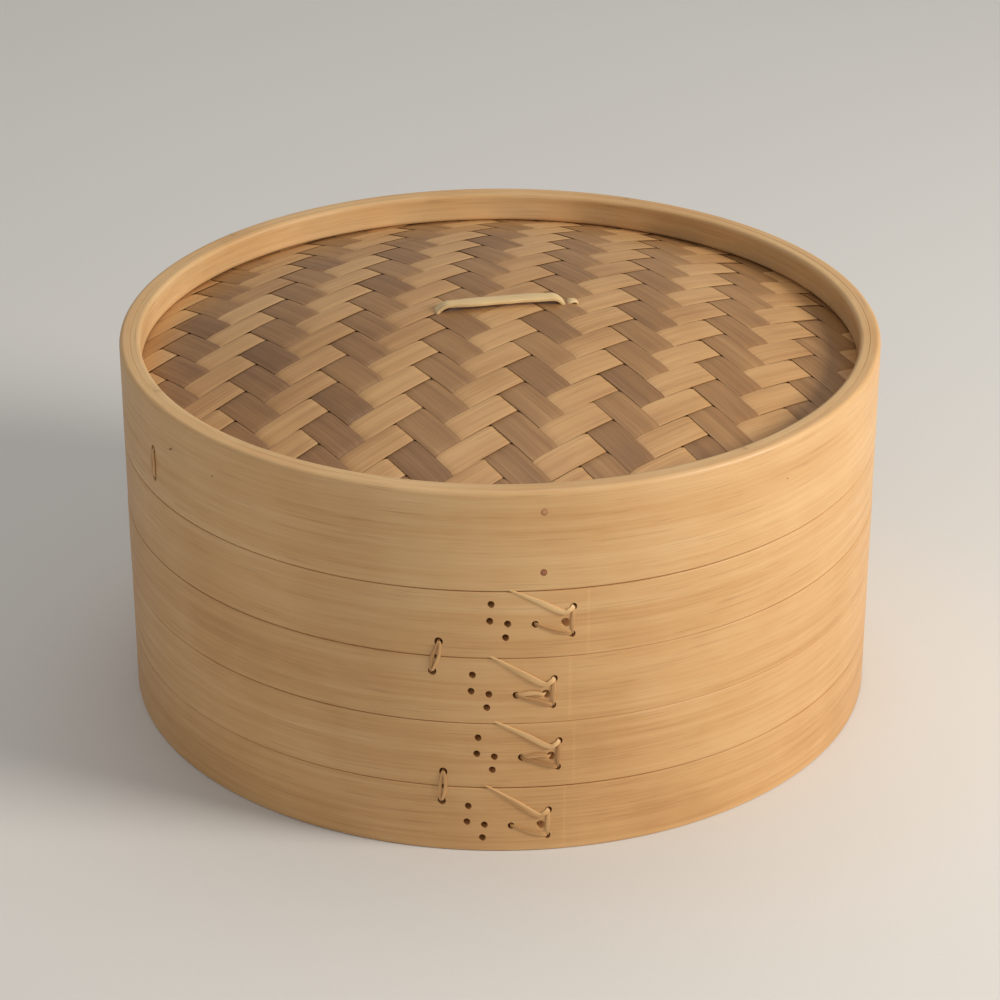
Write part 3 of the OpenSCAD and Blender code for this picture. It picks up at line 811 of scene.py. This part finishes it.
def make_lacing(tier, prefix, body):
    for half, word in enumerate(("bottom", "top")):
        band = 2 * tier + half
        shape = Shape()
        first = (LAP_PLACE[band][0], band * BAND_H + LAP_PLACE[band][1])
        lap_strands(shape, first, (band + 1) * BAND_H, 0, 200 + band, spare=band in SPARE_STRANDS)
        name = f"{prefix}_{word}_lacing"
        add_piece(name, shape.mesh(name), body, [f"{prefix}_{word}_lashing"], STRAND)
    seam = tier * TIER_H + BAND_H
    for word, turn, arcs in (("front", 0, FRONT_TIES[tier]), ("back", 180, BACK_TIE)):
        shape = Shape()
        tie_strand(shape, turn, arcs, seam, TIE_HALF, 220 + tier + turn)
        name = f"{prefix}_{word}_stitch"
        add_piece(name, shape.mesh(name), body, [f"{prefix}_{word}_tie"], STRAND)


def make_tier(tier, prefix, tones, joints):
    body = f"{prefix}_tier"
    for half, word in enumerate(("bottom", "top")):
        name, node = f"{prefix}_{word}_strip", f"{prefix}_{word}_band"
        make_band(2 * tier + half, name, node, body, tones[half], joints[half])
    make_hoop(tier, f"{prefix}_hoop", f"{prefix}_inner_hoop", body)
    make_floor(tier, prefix, body)
    make_retaining_ring(tier, prefix, body)
    make_lacing(tier, prefix, body)


# ---------------------------------------------------------------- lid


def dome_z(r, depth):
    """Height of the dome at a radius and a depth below its top surface, flat where the wall clamps it."""
    return DOME_CZ + np.sqrt((DOME_R - depth) ** 2 - np.minimum(r, WALL_R) ** 2)


def splint_section(points=7):
    """The upper and lower sides of a splint: (place across, share of half its thickness)."""
    across = np.sin(np.linspace(-math.pi / 2, math.pi / 2, points))
    crown = 0.6 + 0.4 * np.sqrt(1 - across ** 8)
    upper = list(zip(across, crown))
    lower = [(a, -c) for a, c in reversed(upper[1:-1])]
    return np.array(upper + lower)


def weave(light, dark, rng, origin, a, b, depth, thickness, total, steps, cover, pinch, r_end):
    """2/2 twill over the dome. Light splint i runs along b through origin + i a, and dark splint j along a
    through origin + j b. Light is on top where (j - i) mod 4 is 0 or 1. A splint narrows where it dives."""
    origin, a, b = np.array(origin), np.array(a), np.array(b)
    swing = (total - thickness) / 2 - 0.04
    crisp = 5.0
    section = splint_section()
    for shape, own, other, sign in ((light, a, b, 1), (dark, b, a, -1)):
        reach = int(r_end / min(np.linalg.norm(a), np.linalg.norm(b))) + 2
        for i in range(-reach, reach + 1):
            width = cover * (1 - rng.uniform(0, 0.022))
            lean = rng.uniform(-0.006, 0.006)
            tone = np.clip(rng.normal(0.5, 0.14), 0.15, 0.85)
            seed = rng.uniform(0, 90)
            phase_slip = rng.uniform(-0.03, 0.03)
            joints = culm_joints(rng, 2 * r_end, SPLINT_JOINTS)
            lane = i + lean + section[:, 0] * width / 2
            base = origin[None, :] + lane[:, None] * own[None, :]
            # A lane outside the circle is pulled back to its edge, where remove_doubles closes the splint
            along = np.arange(-reach * steps, reach * steps + 1) / steps
            half = base @ other / (other @ other)
            clear = r_end ** 2 - (np.sum(base ** 2, 1) - half ** 2 * (other @ other))
            if np.max(clear) <= 1.0:
                continue
            span = np.sqrt(np.maximum(clear, 0.01) / (other @ other))
            inside = along >= (-half - span).min() - 1 / steps
            inside &= along <= (-half + span).max() + 1 / steps
            t = np.clip(along[inside, None], (-half - span)[None, :], (-half + span)[None, :])
            wave = np.cos(math.pi / 2 * (sign * (t - i) + phase_slip - 0.5))
            wave = np.tanh(crisp * wave) / math.tanh(crisp) * sign
            squeeze = 1 - pinch * (1 - wave ** 2)
            spread = (section[:, 0] * width / 2)[None, :] * squeeze + i + lean
            plan = origin + spread[..., None] * own + t[..., None] * other
            r = np.hypot(plan[..., 0], plan[..., 1])
            z = dome_z(r, depth + total / 2) + swing * wave + section[None, :, 1] * thickness / 2
            length = t * np.linalg.norm(other)
            across = np.broadcast_to((lane * np.linalg.norm(own))[None, :], t.shape)
            grain = np.stack([length + 91 * seed, across + 17 * seed, np.full(t.shape, 53 * seed)], -1)
            middle = length.mean(1)
            joint = joint_distance(middle, joints)[:, None]
            shape.tube(np.concatenate([plan, z[..., None]], -1), grain, tone, joint)


def make_woven_top():
    rng = np.random.default_rng(300)
    light, dark = Shape(), Shape()
    weave(
        light, dark, rng, WEAVE_ORIGIN, LIGHT_STEP, DARK_STEP, depth=0.0,
        thickness=WOVEN_T, total=WOVEN_TOTAL, steps=12, cover=0.996, pinch=0.045, r_end=MAT_END_R
    )
    # The dark splints' darker colour is painted shade: the two splint directions differ in colour only for
    # how the sheen falls on them.
    for word, shape, material in (("light", light, WOVEN_LIGHT), ("dark", dark, WOVEN_SHADED_COPY)):
        mesh = shape.mesh(f"splints_{word}")
        add_piece(f"lid_splints_{word}", mesh, "lid", ["lid_woven_top"], material, 50)


def make_inner_mat():
    rng = np.random.default_rng(310)
    first, second = Shape(), Shape()
    weave(
        first, second, rng, (0, 0), (-LINING_STEP, LINING_STEP), (LINING_STEP, LINING_STEP),
        depth=MAT_T + LINER_T, thickness=LINING_SPLINT_T, total=LINING_T, steps=8, cover=0.99, pinch=0.05,
        r_end=MAT_END_R
    )
    for name, shape in (("lid_lining_a", first), ("lid_lining_b", second)):
        add_piece(name, shape.mesh(name), "lid", ["lid_inner_mat"], WOVEN_LIGHT, 50)


def make_paper_liner():
    """A thin sheet between the two mats, slightly cockled."""
    rng = np.random.default_rng(320)
    theta = np.linspace(-math.pi, math.pi, 240, endpoint=False)
    r = np.concatenate([np.linspace(0, MAT_END_R, 40), np.linspace(MAT_END_R, 0, 40)])
    depth = np.repeat([MAT_T + 0.03, MAT_T + LINER_T - 0.03], 40)
    cockle = waves(rng, theta, 0.1, 3, 12)[:, None] * (r / MAT_END_R)[None, :]
    z = dome_z(r, depth)[None, :] - cockle * 0.2
    rings = np.stack([r * np.sin(theta)[:, None], -r * np.cos(theta)[:, None], z], -1)
    shape = Shape()
    shape.tube(rings, closed=True)
    add_piece("lid_paper", shape.mesh("paper"), "lid", ["lid_paper_liner"], PAPER)


def make_ribs():
    rng = np.random.default_rng(330)
    names = (("lid_rib_high", "lid_upper_rib"), ("lid_rib_low", "lid_lower_rib"))
    for (name, node), turn, depth in zip(names, RIB_TURNS, RIB_DEPTHS):
        shape = Shape()
        clipped_bar(
            shape, rng, turn, 0, RIB_W, WALL_R - 0.6,
            lambda r: dome_z(r, depth + RIB_T / 2), RIB_T - 0.1, 0.6, turn / 10, swell=0.0
        )
        add_piece(name, shape.mesh(name), "lid", [node], SLAT)


def make_lid_rings():
    rng = np.random.default_rng(340)
    corners = ring_corners(BAND_IN_R + 0.03, OUTER_R, LID_Z, RIM_Z, 0.12, 1.4, 1, fillet_low=0.4)
    lap = (LID_LAP[0] + LAP_END) / OUTER_R - math.pi
    mesh = wound_ring(corners, rng, wander=0.2, round_off=0.12, lap=lap, step=0.03, segments=720)
    holes = [(180 + arc_angle(LID_LAP[0] + a), LID_LAP[1] + h, HOLE_R) for a, h in LAP_HOLES]
    tie_heights = (LID_TIE_Z - LID_TIE_HALF, LID_TIE_Z + LID_TIE_HALF)
    holes += [(angle, z, HOLE_R * 1.25) for angle in LID_TIE_ANGLES for z in tie_heights]
    holes += [(angle, z, LID_PEG_R) for angle in LID_PEG_ANGLES for z in LID_PEG_HEIGHTS]
    pocket = (180 + arc_angle(LID_LAP[0] + LAP_POCKET[0]), LID_LAP[1] + LAP_POCKET[1], POCKET_R)
    mesh = cut(mesh, hole_bars(holes, BAND_IN_R - 1, OUTER_R + 3, [pocket]))
    mesh = ring_grain(mesh, 31, 0.36, [-130, 158])
    add_piece("lid_hoop", mesh, "lid", ["lid_outer_hoop"], BAND)

    corners = ring_corners(WALL_R, BAND_IN_R, MAT_EDGE_Z, RIM_Z - 0.05, 1.3, 0.12, 1)
    mesh = ring_grain(wound_ring(corners, rng, 0.2, 0.0, segments=720), 32, 0.4, [-64, 38])
    add_piece("lid_rim_ring", mesh, "lid", ["lid_top_ring"], HOOP)

    corners = ring_corners(WALL_R, BAND_IN_R - 0.05, *UNDER_RING, 0.6, 0.4, 2)
    mesh = ring_grain(wound_ring(corners, rng, 0.2, 0.0, segments=480), 33, 0.5, [-60, 40, 165])
    add_piece("lid_under_ring", mesh, "lid", ["lid_inner_ring"], HOOP)

    corners = ring_corners(WALL_R - RIB_RING_T, WALL_R - 0.05, *RIB_RING, 0.6, 0.4, 1)
    mesh = cut(wound_ring(corners, rng, 0.2, 0.0, segments=480), rib_boxes())
    mesh = ring_grain(mesh, 34, 0.45, [-80, 95])
    add_piece("lid_rib_carrier", mesh, "lid", ["lid_rib_ring"], HOOP)


def rib_boxes():
    """Boxes to cut the rib ring's slots with, open at the top."""
    shape = Shape()
    for turn, depth in zip(RIB_TURNS, RIB_DEPTHS):
        along, across = -at(turn - 90, 1, 0), at(turn, 1, 0)
        low = float(dome_z(WALL_R, depth + RIB_T)) - 0.1
        half = RIB_W / 2 + 0.1
        corners = ((-half, low), (half, low), (half, RIM_Z), (-half, RIM_Z))
        section = [across * s + np.array([0, 0, z]) for s, z in corners]
        shape.tube(np.array([[p + along * d for p in section] for d in (-OUTER_R, OUTER_R)]))
    return shape.mesh("rib_boxes")


def make_handle():
    """A flat strip bent down at both ends and pushed through the mats, with a key through each end below."""
    a = math.radians(HANDLE_TURN)
    low, top = HANDLE_Z
    thickness = HANDLE_T - 0.35
    mid = min(top, DOME_TOP + STRAP_GAP + thickness) - thickness / 2
    leg = HANDLE_L / 2 - HANDLE_T / 2

    def place(u, z, v=0.0):
        return np.array([u * math.cos(a) - v * math.sin(a), u * math.sin(a) + v * math.cos(a), z])

    surface = float(dome_z(leg, 0))
    path = [place(-leg, low), place(-leg, low + 4), place(-leg, surface - 0.6)]
    path += [place(-leg + 0.9, surface + 0.5, 0.1), place(-leg + 3.2, mid - 0.35)]
    path += [place(-leg + 7, mid - 0.15, -0.15), place(-5, mid - 0.02, -0.2)]
    path += [place(7, mid - 0.02, 0.15), place(leg - 6, mid - 0.12, 0.1), place(leg - 2.6, mid - 0.35)]
    path += [place(leg - 0.8, surface + 0.55), place(leg, surface - 0.6)]
    path += [place(leg, low + 4), place(leg, low)]
    shape = Shape()
    widths = [4.2, 4.4, 4.2, 4.0, 5.0, 5.2, 4.7, 5.2, 4.8, 5.3, 4.9, 4.4, 4.2, 4.2]
    ribbon(shape, path, (0, 0, 1), widths, thickness, 7.0, 0.35, corner=0.22, count=10)
    # The tongue of the strip's right end, folded back up through the mat
    rises = [(1.3, -1.0), (1.8, -0.05), (3.0, 0.3), (4.2, -0.05), (4.7, -0.9)]
    tongue = [place(leg + u, surface + rise) for u, rise in rises]
    ribbon(shape, tongue, (0, 0, 1), [2.6, 3.2, 2.6, 2.0], 0.6, 9.0, 0.2, corner=0.2)
    add_piece("lid_strap", shape.mesh("strap"), "lid", ["lid_handle"], STRAP)

    keys = Shape()
    for i, s in enumerate((-1, 1)):
        ends = [place(s * leg + d * KEY_L / 2, low + KEY_RISE) for d in (-1, 1)]
        stick(keys, ends[0], ends[1], KEY_R, i + 5, dome=0.6)
    add_piece("lid_strap_keys", keys.mesh("keys"), "lid", ["lid_handle_keys"], SLAT)


def make_lid_lacing():
    shape = Shape()
    lap_strands(shape, LID_LAP, LID_LAP[1] + LID_STRAND_RISE, 180, 260)
    add_piece("lid_lacing", shape.mesh("lacing"), "lid", ["lid_lashing"], STRAND)
    for word, angle in zip(("left", "right"), LID_TIE_ANGLES):
        name = f"lid_stitch_{word}"
        shape = Shape()
        tie_strand(shape, angle, (0, 0), LID_TIE_Z, LID_TIE_HALF, 270 + angle % 7)
        add_piece(name, shape.mesh(name), "lid", [f"lid_{word}_tie"], STRAND)
    pins = Shape()
    for i, angle in enumerate(LID_PEG_ANGLES):
        for z in LID_PEG_HEIGHTS:
            tone = 0.2 if z > LID_PEG_HEIGHTS[0] else 0.9
            ends = at(angle, BAND_IN_R + 0.1, z), at(angle, OUTER_R - 0.05, z)
            stick(pins, *ends, LID_PEG_R, i, 0.15, tone)
    add_piece("lid_pins", pins.mesh("pins"), "lid", ["lid_pegs"], PIN)


# ---------------------------------------------------------------- studio


def make_floor_disc():
    """A wide pale floor, finest under the basket."""
    radii = np.concatenate([np.linspace(0.0, 300, 7), np.geomspace(400, 9000, 12)])
    theta = np.linspace(0, 2 * math.pi, 96, endpoint=False)
    points = [(r * math.cos(t) * MM, r * math.sin(t) * MM, -0.05 * MM) for r in radii for t in theta]
    faces = []
    for i in range(len(radii) - 1):
        for j in range(96):
            k = (j + 1) % 96
            faces.append((i * 96 + j, (i + 1) * 96 + j, (i + 1) * 96 + k, i * 96 + k))
    mesh = bpy.data.meshes.new("studio_floor")
    mesh.from_pydata(points, [], faces)
    bm = bmesh.new()
    bm.from_mesh(mesh)
    bmesh.ops.remove_doubles(bm, verts=bm.verts, dist=1e-6)
    bm.to_mesh(mesh)
    bm.free()
    mesh.materials.append(studio_floor("studio_floor"))
    floor = bpy.data.objects.new("studio_floor", mesh)
    bpy.context.scene.collection.objects.link(floor)


def area_light(name, place, target, size, power, colour):
    """A round light, with its places and size in metres."""
    data = bpy.data.lights.new(name, "AREA")
    data.shape, data.size, data.energy, data.color = "DISK", size, power, colour
    lamp = bpy.data.objects.new(name, data)
    lamp.location = place
    lamp.rotation_euler = (Vector(target) - Vector(place)).to_track_quat("-Z", "Y").to_euler()
    bpy.context.scene.collection.objects.link(lamp)


def make_lights():
    middle = (0, 0, 0.06)
    area_light("key", (1.2, -0.42, 0.72), middle, size=0.55, power=17.5, colour=(1.0, 0.96, 0.9))
    area_light("fill", (-0.5, -1.4, 0.9), middle, size=1.4, power=2.9, colour=(0.97, 0.98, 1.0))
    area_light("top", (0.1, 0.6, 1.6), middle, size=1.2, power=4.2, colour=(1.0, 0.99, 0.97))
    world = bpy.data.worlds.new("studio")
    world.use_nodes = True
    world.node_tree.nodes["Background"].inputs["Color"].default_value = (0.93, 0.94, 0.96, 1)
    world.node_tree.nodes["Background"].inputs["Strength"].default_value = 0.34
    bpy.context.scene.world = world
    bpy.context.scene.view_settings.view_transform = "Standard"


def make_camera():
    """A camera in metres, at the elevation and distance fitted to the picture."""
    elevation, distance = math.radians(26.6), 1.03
    target = Vector((0, 0, 0.0575))
    data = bpy.data.cameras.new("camera")
    data.sensor_width, data.lens = 36, 114
    data.clip_start, data.clip_end = 0.01, 50
    camera = bpy.data.objects.new("camera", data)
    back = Vector((0, -math.cos(elevation), math.sin(elevation)))
    camera.location = target + back * distance
    camera.rotation_euler = (-back).to_track_quat("-Z", "Y").to_euler()
    bpy.context.scene.collection.objects.link(camera)
    bpy.context.scene.camera = camera


make_camera()
make_lights()
make_floor_disc()
make_tier(0, "lower", (0.52, 0.45), ([-128, 150], [118, -165]))
make_tier(1, "upper", (0.5, 0.42), ([-140, 172], [-112, 155]))
make_lid_rings()
make_woven_top()
make_paper_liner()
make_inner_mat()
make_ribs()
make_handle()
make_lid_lacing()
